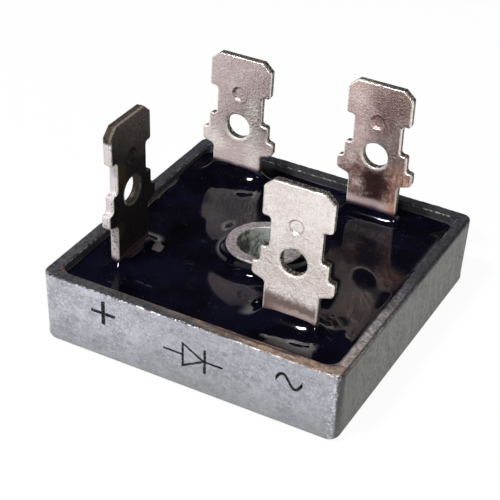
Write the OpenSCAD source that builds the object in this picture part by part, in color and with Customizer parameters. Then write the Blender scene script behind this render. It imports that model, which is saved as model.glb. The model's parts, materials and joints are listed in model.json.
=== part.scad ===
// Single-phase bridge rectifier: a low cast metal cup with a screw hole through its middle,
// four quick-connect terminals at its corners, four diode dice between their feet, and
// potting compound over them. The origin is the centre of the case's underside, +Z points
// the way the tabs stand, and the -Y wall is the one that carries the polarity marks.

/* [Case] */
// Side of the square case
case_side = 28.6; // [27.6:0.1:34]
// Height of the case wall
case_height = 7; // [6.8:0.1:11]
// Thickness of the case wall
wall = 1.2; // [0.9:0.1:1.5]
// Thickness of the case floor
floor_thickness = 1.5; // [1.2:0.1:1.6]
// Radius of the upright outer corners
corner_radius = 1; // [1:0.1:2.5]
// Radius of the upright inner corners
inner_radius = 1.2; // [0.6:0.1:1.6]
// Rounding between the walls and the underside
foot_rounding = 0.8; // [0.3:0.1:0.9]

/* [Screw boss] */
// Outer diameter of the boss
boss_diameter = 7.1; // [6.6:0.1:8]
// Height that the boss stands proud of the rim
boss_rise = 0.1; // [0:0.1:0.5]
// Diameter of the screw hole
screw_hole = 5.08; // [4.5:0.02:5.4]

/* [Insulator] */
// Thickness of the bonding layer under the insulator
bond_thickness = 0.1; // [0.05:0.05:0.2]
// Thickness of the ceramic insulator
insulator_thickness = 0.6; // [0.4:0.1:0.8]
// Clearance between the insulator and the case, at the walls and at the boss
insulator_gap = 0.6; // [0.5:0.1:1]

/* [Dice] */
// Side of a square diode die
die_side = 3; // [2:0.1:3.2]
// Thickness of a die
die_thickness = 0.3; // [0.2:0.05:0.4]
// Thickness of each solder layer
solder_thickness = 0.1; // [0.05:0.05:0.15]

/* [Terminal feet] */
// Thickness of the sheet that the terminals are stamped from
sheet = 0.8; // [0.6:0.05:0.9]
// Inside radius of the bend between foot and blade
bend_radius = 0.4; // [0.2:0.1:0.6]
// Width of a foot's arms
arm_width = 3.4; // [3.3:0.1:3.6]
// Clearance between the boss and the front arms
front_clearance = 1.05; // [0.8:0.05:1.6]
// Clearance between the boss and the left arms
left_clearance = 2.25; // [1.6:0.05:2.8]
// Clearance between the boss and the back arms
back_clearance = 2.35; // [1.8:0.05:2.6]
// Clearance between the boss and the right arms
right_clearance = 2.25; // [1.6:0.05:3]

/* [Blade] */
// Height of the nominal blade's tip above the underside of the case
tip_height = 19.5; // [18:0.1:24]
// Width of the head, which takes the receptacle
head_width = 6.3; // [5.9:0.05:6.6]
// Length of the head
head_length = 3.5; // [2.5:0.1:4]
// Width of the bevel at the tip's corners
bevel_width = 0.9; // [0.4:0.1:1.5]
// Height of the bevel at the tip's corners
bevel_height = 0.8; // [0.4:0.1:1.5]
// Width of the neck
neck_width = 4.7; // [4.3:0.1:5]
// Length of the neck
neck_length = 2.9; // [2:0.1:3.5]
// Width of the upper ears
ear_width = 6.2; // [6:0.1:6.5]
// Length of the upper ears
ear_length = 1.6; // [1.2:0.1:2]
// Width of the lower ears, which stop the receptacle
stop_width = 7.5; // [7.3:0.1:8]
// Length of the lower ears at their outer edge
stop_length = 1.3; // [1.1:0.1:2]
// Drop of the lower ears' underside towards the stem
stop_slope = 0.4; // [0.2:0.1:0.6]
// Width of the stem
stem_width = 5; // [4.6:0.1:5.2]
// Diameter of the wire hole
wire_hole = 2.5; // [1.6:0.1:2.8]
// Distance from the tip to the middle of the wire hole
wire_hole_drop = 7.1; // [6.8:0.1:7.4]
// Diameter of the detent dimple
dimple_diameter = 1.4; // [1:0.1:1.8]
// Depth of the detent dimple in each face
dimple_depth = 0.2; // [0.1:0.05:0.25]
// Distance from the tip to the middle of the dimple
dimple_drop = 3.7; // [3:0.1:4]

/* [Plus terminal, at the left wall] */
// Offset of the blade along the wall, from its foot's corner towards the middle
plus_shift = -0.2; // [-0.6:0.1:0.4]
// Height of the tip above the nominal one
plus_lift = 0.3; // [-0.6:0.1:0.6]

/* [Minus terminal, at the back wall] */
// Offset of the blade along the wall, from its foot's corner towards the middle
minus_shift = 2.1; // [1.6:0.1:2.2]
// Offset of the blade outwards, past its foot's arm
minus_step = 0.9; // [0.4:0.1:1.2]
// Height of the tip above the nominal one
minus_lift = 0; // [-0.6:0.1:0.6]

/* [Front AC terminal] */
// Offset of the blade along the wall, from its foot's corner towards the middle
front_shift = 0.6; // [0:0.1:1.2]
// Height of the tip above the nominal one
front_lift = 0.1; // [-0.6:0.1:0.6]

/* [Back AC terminal] */
// Offset of the blade along the wall, from its foot's corner towards the middle
back_shift = -1; // [-1.2:0.1:0]
// Height of the tip above the nominal one
back_lift = -0.6; // [-0.6:0.1:0.6]

/* [Potting] */
// Depth of the compound's level surface under the rim
potting_drop = 1.3; // [1.2:0.1:1.8]
// Height and reach of the meniscus at walls, boss and blades
meniscus = 1; // [0.4:0.1:1.2]

/* [Hidden] */
$fn = 64;

// Small radii of the blade's outline, as the punch leaves them
outer_round = 0.2;
inner_round = 0.3;
stop_round = 0.5;
stem_round = 0.4;
// Straight steps in each rounded corner of an outline, and in the meniscus
arc_steps = 5;
// Length by which a cut runs past the face that it opens
past = 1;

// Heights of the stack, from the case floor up
cavity_reach = case_side / 2 - wall;
insulator_z = floor_thickness + bond_thickness;
foot_solder_z = insulator_z + insulator_thickness;
lower_foot_z = foot_solder_z + solder_thickness;
lower_solder_z = lower_foot_z + sheet;
die_z = lower_solder_z + solder_thickness;
upper_solder_z = die_z + die_thickness;
upper_foot_z = upper_solder_z + solder_thickness;
potting_z = case_height - potting_drop;
potting_depth = potting_z - floor_thickness;

// The feet's arms run along four lines round the boss, and each blade stands outside its line
boss_to_line = (boss_diameter + arm_width) / 2;
front_line = -boss_to_line - front_clearance;
left_line = -boss_to_line - left_clearance;
back_line = boss_to_line + back_clearance;
right_line = boss_to_line + right_clearance;
setback = sheet + bend_radius + arm_width / 2;

// Each die sits on its line, half way along the wall
front_spot = [0, front_line];
left_spot = [left_line, 0];
right_spot = [right_line, 0];
back_spot = [0, back_line];

// A terminal is the middle of its blade's outer face, the turn of that face from +Y, the tip's
// height, the foot's underside, the foot's corner, and the dice that its two arms reach
PLUS = [[left_line - setback, front_line + plus_shift], 90, tip_height + plus_lift,
        lower_foot_z, [left_line, front_line], [front_spot, left_spot]];
MINUS = [[right_line - minus_shift, back_line + setback + minus_step], 0, tip_height + minus_lift,
         lower_foot_z, [right_line, back_line], [right_spot, back_spot]];
FRONT_AC = [[right_line - front_shift, front_line - setback], 180, tip_height + front_lift,
            upper_foot_z, [right_line, front_line], [front_spot, right_spot]];
BACK_AC = [[left_line + back_shift, back_line + setback], 0, tip_height + back_lift,
           upper_foot_z, [left_line, back_line], [left_spot, back_spot]];
TERMINALS = [PLUS, MINUS, FRONT_AC, BACK_AC];
function face_of(terminal) = terminal[0];
function turn_of(terminal) = terminal[1];
function tip_of(terminal) = terminal[2];
function underside_of(terminal) = terminal[3];
function corner_of(terminal) = terminal[4];
function dice_of(terminal) = terminal[5];

// ---- Outlines ----

function unit(v) = v / norm(v);
function mirrored(p) = [-p.x, p.y, p.z];

// Points on the arc of radius r that touches both sides of the corner b
function corner_arc(a, b, c, r) =
    let (u = unit(a - b), v = unit(c - b), half = acos(u * v) / 2,
         centre = b + unit(u + v) * r / sin(half),
         touch = b + u * r / tan(half) - centre,
         start = atan2(touch.y, touch.x),
         sweep = sign(cross(u, v)) * (2 * half - 180))
    [for (k = [0:arc_steps])
        let (angle = start + sweep * k / arc_steps)
        centre + r * [cos(angle), sin(angle)]];

// Outline through corners [x, y, radius], each rounded to its own radius
function rounded(corners) =
    let (n = len(corners), flat = [for (p = corners) [p.x, p.y]])
    [for (i = [0:n - 1])
        each corner_arc(flat[(i + n - 1) % n], flat[i], flat[(i + 1) % n], corners[i].z)];

// Right-hand corners of a blade, from its tip down to the bend
function blade_side(tip) =
    let (shoulder = tip - head_length, ear_top = shoulder - neck_length,
         stop_top = ear_top - ear_length, stop_end = stop_top - stop_length)
    [[head_width / 2 - bevel_width, tip, outer_round],
     [head_width / 2, tip - bevel_height, outer_round],
     [head_width / 2, shoulder, outer_round],
     [neck_width / 2, shoulder, inner_round],
     [neck_width / 2, ear_top, inner_round],
     [ear_width / 2, ear_top, outer_round],
     [ear_width / 2, stop_top, inner_round],
     [stop_width / 2, stop_top, outer_round],
     [stop_width / 2, stop_end, stop_round],
     [stem_width / 2, stop_end - stop_slope, stem_round]];

// ---- Case ----

// Half section of the case's edge, from the line through the corner centres outwards
module edge_section() {
    translate([0, foot_rounding])
        square([corner_radius, case_height - foot_rounding]);
    square([corner_radius - foot_rounding, case_height]);
    translate([corner_radius - foot_rounding, foot_rounding]) intersection() {
        circle(foot_rounding);
        translate([0, -foot_rounding])
            square(foot_rounding);
    }
}

// Solid block of the case: a core, four walls and four corner posts of one section
module case_block() {
    reach = case_side / 2 - corner_radius;
    translate([-reach, -reach, 0])
        cube([2 * reach, 2 * reach, case_height]);
    for (turn = [0:90:270])
        rotate(turn) {
            translate([reach, reach, 0])
                rotate_extrude()
                    edge_section();
            translate([reach, 0, 0])
                rotate([90, 0, 0])
                    linear_extrude(2 * reach, center = true)
                        edge_section();
        }
}

// Hollow of the cup, from the floor up to the given height above it
module cavity(height) {
    reach = cavity_reach - inner_radius;
    translate([0, 0, floor_thickness])
        linear_extrude(height) {
            square([2 * cavity_reach, 2 * reach], center = true);
            square([2 * reach, 2 * cavity_reach], center = true);
            for (x = [-reach, reach], y = [-reach, reach])
                translate([x, y])
                    circle(inner_radius);
        }
}

module boss() {
    cylinder(d = boss_diameter, h = case_height + boss_rise);
}

module case() {
    color("#a6a7b0")
        difference() {
            union() {
                difference() {
                    case_block();
                    cavity(case_height);
                }
                boss();
            }
            translate([0, 0, -past])
                cylinder(d = screw_hole, h = case_height + boss_rise + 2 * past);
        }
}

// ---- Insulator ----

// Square sheet that clears the walls and the boss
module floor_sheet(z, thickness) {
    side = 2 * (cavity_reach - insulator_gap);
    translate([0, 0, z])
        linear_extrude(thickness)
            difference() {
                square(side, center = true);
                circle(d = boss_diameter + 2 * insulator_gap);
            }
}

module bond_layer() {
    color("#8c8f94")
        floor_sheet(floor_thickness, bond_thickness);
}

module insulator() {
    color("#eceae2")
        floor_sheet(insulator_z, insulator_thickness);
}

// ---- Terminals ----

// Flat bar along an arm, half its width past both ends
module arm(from, to) {
    low = [min(from.x, to.x), min(from.y, to.y)];
    high = [max(from.x, to.x), max(from.y, to.y)];
    translate(low - [arm_width, arm_width] / 2)
        square(high - low + [arm_width, arm_width]);
}

// Frame with its origin at the foot of the blade's outer face, the blade across X
module at_blade(terminal) {
    translate(face_of(terminal))
        rotate(turn_of(terminal))
            children();
}

// Plan of a foot: two arms to its dice, and the pad that the blade is bent up from
module foot_plan(terminal) {
    for (spot = dice_of(terminal))
        arm(corner_of(terminal), spot);
    at_blade(terminal)
        translate([-stem_width / 2, -sheet - bend_radius - arm_width])
            square([stem_width, arm_width]);
}

// Quarter turn of the sheet, with a tail that lies in the foot and one that lies in the blade
module bend() {
    outside = sheet + bend_radius;
    rotate([90, 0, 90])
        linear_extrude(stem_width, center = true)
            translate([-outside, outside]) {
                intersection() {
                    difference() {
                        circle(outside);
                        circle(bend_radius);
                    }
                    translate([0, -outside])
                        square(outside);
                }
                translate([-sheet, -outside])
                    square(sheet);
                translate([bend_radius, 0])
                    square(sheet);
            }
}

// Stamped blade, with its foot's underside at z = 0 and its outer face at y = 0
module blade(tip) {
    side = blade_side(tip);
    crown = rounded(concat(side, [for (i = [len(side) - 1:-1:0]) mirrored(side[i])]));
    root = sheet + bend_radius;
    rotate([90, 0, 0])
        linear_extrude(sheet)
            difference() {
                union() {
                    polygon(crown);
                    translate([-stem_width / 2, root])
                        square([stem_width, tip - head_length - neck_length - root]);
                }
                translate([0, tip - wire_hole_drop])
                    circle(d = wire_hole);
            }
}

// Ball that presses the detent dimple into both faces of a blade
module dimples(tip) {
    ball = (pow(dimple_diameter / 2, 2) + pow(dimple_depth, 2)) / (2 * dimple_depth);
    for (y = [ball - dimple_depth, dimple_depth - ball - sheet])
        translate([0, y, tip - dimple_drop])
            sphere(ball);
}

module terminal_shape(terminal) {
    tip = tip_of(terminal) - underside_of(terminal);
    translate([0, 0, underside_of(terminal)]) {
        linear_extrude(sheet)
            foot_plan(terminal);
        at_blade(terminal) {
            bend();
            difference() {
                blade(tip);
                dimples(tip);
            }
        }
    }
}

module terminal(terminal) {
    color("#cdb9b1")
        terminal_shape(terminal);
}

// ---- Solder and dice ----

module foot_solder(terminal) {
    color("#b9bcc2")
        translate([0, 0, foot_solder_z])
            linear_extrude(solder_thickness)
                foot_plan(terminal);
}

// Square layer of the die's size at one of the four spots
module layer(spot, z, thickness) {
    translate([spot.x, spot.y, z])
        linear_extrude(thickness)
            square(die_side, center = true);
}

module die(spot) {
    color("#3a3d45")
        layer(spot, die_z, die_thickness);
}

module lower_solder(spot) {
    color("#b9bcc2")
        layer(spot, lower_solder_z, solder_thickness);
}

module upper_solder(spot) {
    color("#b9bcc2")
        layer(spot, upper_solder_z, solder_thickness);
}

// Everything that the compound flows round, except the case
module buried() {
    floor_sheet(floor_thickness, bond_thickness + insulator_thickness);
    for (terminal = TERMINALS)
        terminal_shape(terminal);
    for (terminal = [PLUS, MINUS])
        foot_solder(terminal);
    for (spot = [front_spot, left_spot, right_spot, back_spot])
        layer(spot, lower_solder_z, upper_foot_z - lower_solder_z);
}

// ---- Potting ----

// Section of the meniscus: it hollows out from a face at x = 0 down to the level surface
module meniscus_section() {
    polygon(concat([[0, -meniscus]],
                   [for (k = [0:arc_steps])
                       let (angle = 180 + 90 * k / arc_steps)
                       meniscus * [1 + cos(angle), 1 + sin(angle)]],
                   [[meniscus, -meniscus]]));
}

// Meniscus along a straight face in the plane y = 0, climbing towards -Y
module straight_meniscus(length) {
    rotate([90, 0, 90])
        linear_extrude(length, center = true)
            meniscus_section();
}

// Meniscus all round a blade, with a cone at each of its four edges
module blade_meniscus() {
    for (turn = [0, 180])
        translate([0, -sheet / 2, 0])
            rotate(turn) {
                translate([0, sheet / 2, 0])
                    straight_meniscus(stem_width);
                translate([stem_width / 2, 0, 0])
                    rotate(-90)
                        straight_meniscus(sheet);
                for (y = [-sheet / 2, sheet / 2])
                    translate([stem_width / 2, y, 0])
                        rotate_extrude()
                            meniscus_section();
            }
}

// Compound as poured: level in the middle, climbing at walls, boss and blades
module pour() {
    cavity(potting_depth);
    intersection() {
        cavity(potting_depth + meniscus);
        for (turn = [0:90:270])
            rotate(turn)
                translate([0, -cavity_reach, potting_z])
                    straight_meniscus(2 * cavity_reach);
    }
    translate([0, 0, potting_z]) {
        rotate_extrude()
            translate([boss_diameter / 2, 0])
                meniscus_section();
        for (terminal = TERMINALS)
            at_blade(terminal)
                blade_meniscus();
    }
}

module potting() {
    color("#1c1a28")
        difference() {
            pour();
            boss();
            buried();
        }
}

case();
bond_layer();
insulator();
terminal(PLUS);  // plus_terminal
terminal(MINUS);  // minus_terminal
terminal(FRONT_AC);  // front_ac_terminal
terminal(BACK_AC);  // back_ac_terminal
foot_solder(PLUS);  // plus_foot_solder
foot_solder(MINUS);  // minus_foot_solder
die(front_spot);  // front_die
die(left_spot);  // left_die
die(right_spot);  // right_die
die(back_spot);  // back_die
lower_solder(front_spot);  // front_lower_solder
lower_solder(left_spot);  // left_lower_solder
lower_solder(right_spot);  // right_lower_solder
lower_solder(back_spot);  // back_lower_solder
upper_solder(front_spot);  // front_upper_solder
upper_solder(left_spot);  // left_upper_solder
upper_solder(right_spot);  // right_upper_solder
upper_solder(back_spot);  // back_upper_solder
potting();
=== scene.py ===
# %% [markdown]
# # A bridge rectifier, dressed for its picture
# A bridge rectifier turns alternating current into direct current. This one is a small cast cup
# with a screw hole in the middle. Four tabs stand in it, stamped from sheet and tinned, and glossy
# black compound seals everything under them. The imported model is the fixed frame: every size and
# place below comes from its boxes and mounts, so what is drawn here sits where the real pieces do.
# %% Load the frame
import json
import math
import bpy
import numpy as np
from mathutils import Matrix, Vector
from mathutils.geometry import delaunay_2d_cdt


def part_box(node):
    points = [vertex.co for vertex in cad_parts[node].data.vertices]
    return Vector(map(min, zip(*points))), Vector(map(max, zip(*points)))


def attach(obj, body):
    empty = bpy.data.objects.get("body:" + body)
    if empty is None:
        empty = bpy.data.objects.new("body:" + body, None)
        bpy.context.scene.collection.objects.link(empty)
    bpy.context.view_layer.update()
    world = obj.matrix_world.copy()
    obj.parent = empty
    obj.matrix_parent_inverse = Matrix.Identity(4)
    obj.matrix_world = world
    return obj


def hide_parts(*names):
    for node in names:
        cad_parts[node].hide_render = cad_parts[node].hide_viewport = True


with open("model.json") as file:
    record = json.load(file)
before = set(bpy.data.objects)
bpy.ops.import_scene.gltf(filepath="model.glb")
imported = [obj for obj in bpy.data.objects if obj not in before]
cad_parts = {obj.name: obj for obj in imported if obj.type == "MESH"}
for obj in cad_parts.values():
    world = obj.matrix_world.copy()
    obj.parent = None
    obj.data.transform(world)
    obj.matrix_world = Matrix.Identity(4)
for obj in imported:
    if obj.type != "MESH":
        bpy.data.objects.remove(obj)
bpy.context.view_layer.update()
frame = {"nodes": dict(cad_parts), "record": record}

# %% [markdown]
# ## The camera
# A product portrait is taken from a little above, with a long lens so that the square case keeps
# nearly parallel sides. A camera could be aimed by a constraint; here its matrix is built from two
# angles, a small tilt and a distance, because those are the numbers a photographer would write down.
# %% Place the camera
azimuth, elevation, tilt = (math.radians(v) for v in (26.77, 33.09, 2.79))
distance = 0.13587
aim = Vector((-0.00253, 0.0020, 0.00428))
back = Vector((math.sin(azimuth) * math.cos(elevation), -math.cos(azimuth) * math.cos(elevation),
               math.sin(elevation)))
turned = back.to_track_quat("Z", "Y").to_matrix() @ Matrix.Rotation(tilt, 3, "Z")
camera = bpy.data.objects.new("camera", bpy.data.cameras.new("camera"))
camera.matrix_world = Matrix.Translation(aim + back * distance) @ turned.to_4x4()
camera.data.lens = 106.74
camera.data.sensor_width = 36
camera.data.clip_start = 0.005
bpy.context.scene.collection.objects.link(camera)
bpy.context.scene.camera = camera
print("camera at", [round(v * 1000, 1) for v in camera.matrix_world.translation], "mm")

# %% [markdown]
# ## Sizes read off the frame
# Blender works in metres and a maker in millimetres, so the shapes are worked out in millimetres and
# turned to metres once, when they become meshes. A die marks the middle of each wall's row of
# pieces; the arms of the terminals' feet end on the dice.
# %% Read the sizes
MM = 0.001


def corners(node):
    """Lowest and highest corner of a CAD node, in millimetres."""
    low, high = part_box(node)
    return np.array(low) / MM, np.array(high) / MM


def middle(node):
    """Middle of a CAD node's box: half of the sum of its corners."""
    return sum(corners(node)) / 2


mounts = {m["name"]: m for m in frame["record"]["mounts"]}
case_half, case_top = corners("case")[1][0], corners("case")[1][2]
pour_half, pour_top = corners("potting")[1][0], corners("potting")[1][2]
pour_floor = corners("potting")[0][2]
hole_radius = mounts["screw_hole"]["dims"]["r_mm"]
rim_height = case_top - 0.1
boss_radius = 3.55
level = pour_top - 1.0
print("case half side", case_half, "rim", round(rim_height, 2), "pour", pour_half, "level", level)

# %% [markdown]
# ## From arrays to a mesh
# Every shape below is an array of points and arrays of corner numbers. Blender can take such arrays
# whole, which is quick and leaves no loop over points. A *closed grid* is a sheet whose rows are
# rings and whose last row meets its first, like the skin of a tyre: it has no seam and no open edge.
# %% Make meshes
def piece_from(name, points, *faces, **marks):
    """Mesh object from points in millimetres, arrays of corner numbers, and numbers per point."""
    loops = np.concatenate([f.ravel() for f in faces]).astype(np.int32)
    sizes = np.concatenate([np.full(len(f), f.shape[1]) for f in faces])
    mesh = bpy.data.meshes.new(name)
    mesh.vertices.add(len(points))
    mesh.loops.add(len(loops))
    mesh.polygons.add(len(sizes))
    mesh.vertices.foreach_set("co", (points * MM).astype(np.float32).ravel())
    mesh.loops.foreach_set("vertex_index", loops)
    mesh.polygons.foreach_set("loop_start", (np.cumsum(sizes) - sizes).astype(np.int32))
    mesh.polygons.foreach_set("use_smooth", np.ones(len(sizes), bool))
    mesh.update(calc_edges=True)
    for mark, values in marks.items():
        mesh.attributes.new(mark, "FLOAT", "POINT").data.foreach_set(
            "value", values.astype(np.float32))
    piece = bpy.data.objects.new(name, mesh)
    bpy.context.scene.collection.objects.link(piece)
    return piece


def wrap(rows, around):
    """Corner numbers of a grid of rings whose last ring joins the first: every corner's
    neighbours are the next one round the ring and the next ring, both counted in a circle."""
    ring, step = np.meshgrid(np.arange(rows), np.arange(around), indexing="ij")
    after, beside = (ring + 1) % rows, (step + 1) % around
    quads = np.stack([ring * around + step, ring * around + beside,
                      after * around + beside, after * around + step], -1)
    return quads.reshape(-1, 4)


def ripple(turns, slowest, fastest, seed):
    """Unevenness along a closed line: the mean of 24 cosines, each with a whole number of waves
    per turn and a phase of its own, brought to about plus or minus one."""
    dice = np.random.default_rng(seed)
    waves = dice.integers(slowest, fastest + 1, 24)
    phases = dice.uniform(0, 2 * np.pi, 24)
    return np.cos(2 * np.pi * (turns[..., None] * waves + phases)).mean(-1) * 3.5


# %% [markdown]
# ## Rings round the case
# The cup is square outside and round at its boss. If each ring of the mesh is either a rounded
# square or a circle, with the same number of points, one profile can run from the underside up the
# wall, over the rim, down inside, over the boss and down the bore.
# %% Rings
AROUND = 640
turns = np.arange(AROUND) / AROUND
STRAIGHT = 0.86


def square_ring(half, radius):
    """Points round a square with rounded corners. In each quarter the first part of the way is a
    straight run along one side, and the rest is a quarter circle about the corner's centre."""
    quarter = np.floor(turns * 4)
    along = turns * 4 - quarter
    reach = half - radius
    angle = np.clip((along - STRAIGHT) / (1 - STRAIGHT), 0, 1) * np.pi / 2
    x = np.where(along < STRAIGHT, (2 * along / STRAIGHT - 1) * reach, reach + radius * np.sin(angle))
    y = -reach - radius * np.cos(angle)
    turn = quarter * np.pi / 2
    return np.stack([x * np.cos(turn) - y * np.sin(turn), x * np.sin(turn) + y * np.cos(turn)], -1)


def circle_ring(radius):
    """Points round a circle, started so that each faces its partner on the square ring."""
    angle = 2 * np.pi * turns - np.pi / 2 - np.pi / 4 * STRAIGHT
    return np.stack([np.cos(angle), np.sin(angle)], -1) * radius


def quarter_round(count):
    """Sine and one minus cosine over a quarter turn: the two ways along a rounded edge."""
    angle = np.linspace(0, np.pi / 2, count)
    return np.sin(angle), 1 - np.cos(angle)


print("ring points:", AROUND, "corner of a 10 mm ring:", square_ring(10, 1)[150].round(2))

# %% [markdown]
# ## The case
# The real case is die cast: its outer wall leans in a little towards the bottom so that it leaves
# the mould, its foot is rounded, and where the flash was trimmed the rim keeps a thin uneven burr.
# A box with bevels would be quicker, but its rim would be dead straight. Here the profile is a list
# of rings, and the burr is a ripple added to those near the rim's edge.
# %% Profile of the case
DRAFT = 0.16
FOOT = 0.8
rise, run = quarter_round(9)
edge_rise, edge_run = quarter_round(6)
wall_z = np.concatenate([np.linspace(FOOT, rim_height - 0.6, 16), np.linspace(rim_height - 0.5, rim_height - 0.1, 8)])
foot_half = case_half - DRAFT - FOOT
profile = []
profile += [("circle", hole_radius + 0.15, 0, 0)]
profile += [("square", foot_half + FOOT * s, 0.25 + FOOT * s, FOOT * c) for s, c in zip(rise, run)]
profile += [("square", case_half - 0.03 - DRAFT * (1 - (z - FOOT) / (rim_height - FOOT)) ** 1.0, 1.05, z)
            for z in wall_z[1:]]
profile += [("square", case_half - 0.03 - 0.1 * c, 1.05 - 0.1 * c, rim_height - 0.1 + 0.1 * s)
            for s, c in zip(edge_rise[1:], edge_run[1:])]
profile += [("square", half, 1.05 - (case_half - half) * 0.1, rim_height)
            for half in np.linspace(case_half - 0.2, pour_half + 0.2, 9)]
profile += [("square", pour_half + 0.12 * (1 - s), 1.2, rim_height - 0.12 * c)
            for s, c in zip(edge_rise, edge_run)]
profile += [("square", pour_half, 1.2, z) for z in np.linspace(rim_height - 0.3, pour_floor, 8)]
profile += [("circle", boss_radius, 0, z) for z in np.linspace(pour_floor, case_top - 0.25, 8)]
profile += [("circle", boss_radius - 0.15 * c, 0, case_top - 0.15 + 0.15 * s)
            for s, c in zip(edge_rise, edge_run)]
profile += [("circle", radius, 0, case_top) for radius in np.linspace(boss_radius - 0.2, hole_radius + 0.2, 6)]
profile += [("circle", hole_radius + 0.12 * (1 - s), 0, case_top - 0.12 * c)
            for s, c in zip(edge_rise, edge_run)]
profile += [("circle", hole_radius, 0, z) for z in np.linspace(case_top - 0.4, 0.15, 12)]

# %% Case mesh
case_points = np.stack([
    np.column_stack([square_ring(a, r) if kind == "square" else circle_ring(a), np.full(AROUND, z)])
    for kind, a, r, z in profile])
reach = np.abs(case_points[..., :2]).max(-1)
height = case_points[..., 2]
near_edge = np.exp(-(np.hypot(reach - case_half, height - rim_height) / 0.28) ** 2)
near_lip = np.exp(-(np.hypot(reach - pour_half, height - rim_height) / 0.3) ** 2) * (reach > 10)
on_rim = (height > rim_height - 0.02) & (reach > pour_half)
burr = ripple(turns, 60, 220, 3) + 0.8 * ripple(turns, 8, 40, 4)
chips = np.clip(ripple(turns, 90, 240, 5) - 0.7, 0, 1)
inward = -case_points[..., :2] / np.maximum(reach, 1)[..., None]
case_points[..., :2] += inward * (near_edge * (0.022 + 0.022 * burr + 0.10 * chips))[..., None]
case_points[..., :2] += inward * (near_lip * (0.012 + 0.012 * ripple(turns, 10, 90, 6)))[..., None] * -1
case_points[..., 2] += near_edge * 0.03 * burr.clip(-1, 1.5) + on_rim * 0.012 * ripple(turns, 12, 70, 7)
boss_face = (height > case_top - 0.2) & (reach < boss_radius)
case_points[..., 2] -= boss_face * (0.012 + 0.012 * ripple(turns, 6, 40, 8)).clip(0, 1)
case_points[..., :2] = case_points[..., :2].clip(-case_half, case_half)
case = piece_from("cast_case", case_points.reshape(-1, 3), wrap(len(profile), AROUND))
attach(case, "root")
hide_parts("case")
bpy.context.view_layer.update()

# %% [markdown]
# ## The four tabs, seen from their mounts
# A wire hole's axis points out of a blade's outer face, and a tab mount sits in the middle of its
# tip. With the two, a terminal gets a small frame of its own: *across* the blade, *out* of its face
# and up. Real tabs are never quite upright once they are soldered and potted, so each leans by a
# hair, about the place where it leaves its foot.
# %% Frames of the terminals
SHEET = 0.8
BEND = 0.4
STEM = 5.0
ROOT = SHEET + BEND
LEANS = {"plus": (-0.023, -0.003), "minus": (-0.008, 0.008),
         "front_ac": (0.016, 0.005), "back_ac": (0.009, 0.014)}
DICE = {"plus": ("front_die", "left_die"), "minus": ("back_die", "right_die"),
        "front_ac": ("front_die", "right_die"), "back_ac": ("back_die", "left_die")}


def terminal_frame(name):
    """Across and out directions, the foot of the outer face, and the tip's height above the foot's
    underside. Across is out turned a quarter turn: out x up."""
    out = np.array(mounts[name + "_wire_hole"]["axis"], float)
    across = np.cross(out, (0, 0, 1))
    tip = np.array(mounts[name + "_tab"]["pos_m"]) / MM
    floor = corners(name + "_terminal")[0][2]
    face = np.array([*(tip + out * SHEET / 2)[:2], floor])
    return across, out, face, tip[2] - floor


for name in DICE:
    across, out, face, tip = terminal_frame(name)
    print(name, "outer face at", face.round(2), "blade", round(tip, 2), "mm above its foot")

# %% [markdown]
# ## The compound's surface
# Liquid epoxy climbs every wall it touches and sets there as a *meniscus*. Near a wall the height
# of such a surface falls off exponentially, so the whole pour is one formula of the distances to
# the walls, the boss and the four stems. That curve is what bends the reflections of the tabs.
# %% Distances over the pour
def box_gap(points, half_x, half_y):
    """Distance from a rectangle about the origin: outside it the length of what is left of the
    coordinates once the half sides are taken off, and inside it minus the way to the nearest side."""
    left = np.abs(points) - (half_x, half_y)
    beyond = np.maximum(left, 0)
    return np.hypot(beyond[..., 0], beyond[..., 1]) + np.minimum(left.max(-1), 0)


def wall_gap(points):
    """Distance inwards from the cavity's wall: a box without its rounding, and then the rounding."""
    return CAVITY_ROUND - box_gap(points, pour_half - CAVITY_ROUND, pour_half - CAVITY_ROUND)


def climb(gap, top, reach):
    """Meniscus at a distance: its height at the wall, falling off exponentially."""
    return top * np.exp(-np.maximum(gap, -0.4) / reach)


def stem_climb(points, name):
    """Meniscus of one stem. It holds on best along the middle of the sheet's faces, and its top
    sinks towards the corners with the fourth power of the way across."""
    across, out, face, tip = terminal_frame(name)
    top, reach = CLIMBS[name]
    centre = face[:2] - out[:2] * SHEET / 2 + np.array(LEANS[name]) * 2.5
    local = np.stack([(points - centre) @ across[:2], (points - centre) @ out[:2]], -1)
    share = np.clip(np.abs(local[..., 0]) / (STEM / 2), 0, 1)
    return climb(box_gap(local, STEM / 2, SHEET / 2), top * (1 - 0.15 * share ** 4), reach)


def pour_height(points):
    """Height of the set compound over the plan. Each wall lifts it by its own meniscus. What each
    leaves of the highest possible lift is multiplied, so two that meet blend and never stack up."""
    radius, angle = np.hypot(*np.moveaxis(points, -1, 0)), np.arctan2(points[..., 1], points[..., 0])
    uneven, calm = ripple(angle / (2 * np.pi), 3, 22, 11), ripple(angle / (2 * np.pi), 1, 5, 12)
    left = 1 - climb(wall_gap(points), 0.5 + 0.03 * uneven, 0.75) / MOST_CLIMB
    left *= 1 - climb(radius - boss_radius, 1.27 + 0.03 * calm, 0.42) / MOST_CLIMB
    for name in LEANS:
        left *= 1 - np.minimum(stem_climb(points, name) / MOST_CLIMB, 0.99)
    x, y = points[..., 0], points[..., 1]
    swell = 0.014 * np.sin(x * 0.7 + 1.3) * np.sin(y * 0.6 + 0.4)
    return level - 0.06 + MOST_CLIMB * (1 - left) + swell * left


CAVITY_ROUND = 1.2
MOST_CLIMB = 2.6
CLIMBS = {"plus": (1.15, 0.85), "minus": (1.15, 0.7), "front_ac": (1.75, 1.5), "back_ac": (1.95, 1.4)}
print("height by a wall:", pour_height(np.array([[0.0, 13.05]])).round(2),
      "in the open:", pour_height(np.array([[-4.0, 6.0]])).round(2))

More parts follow.
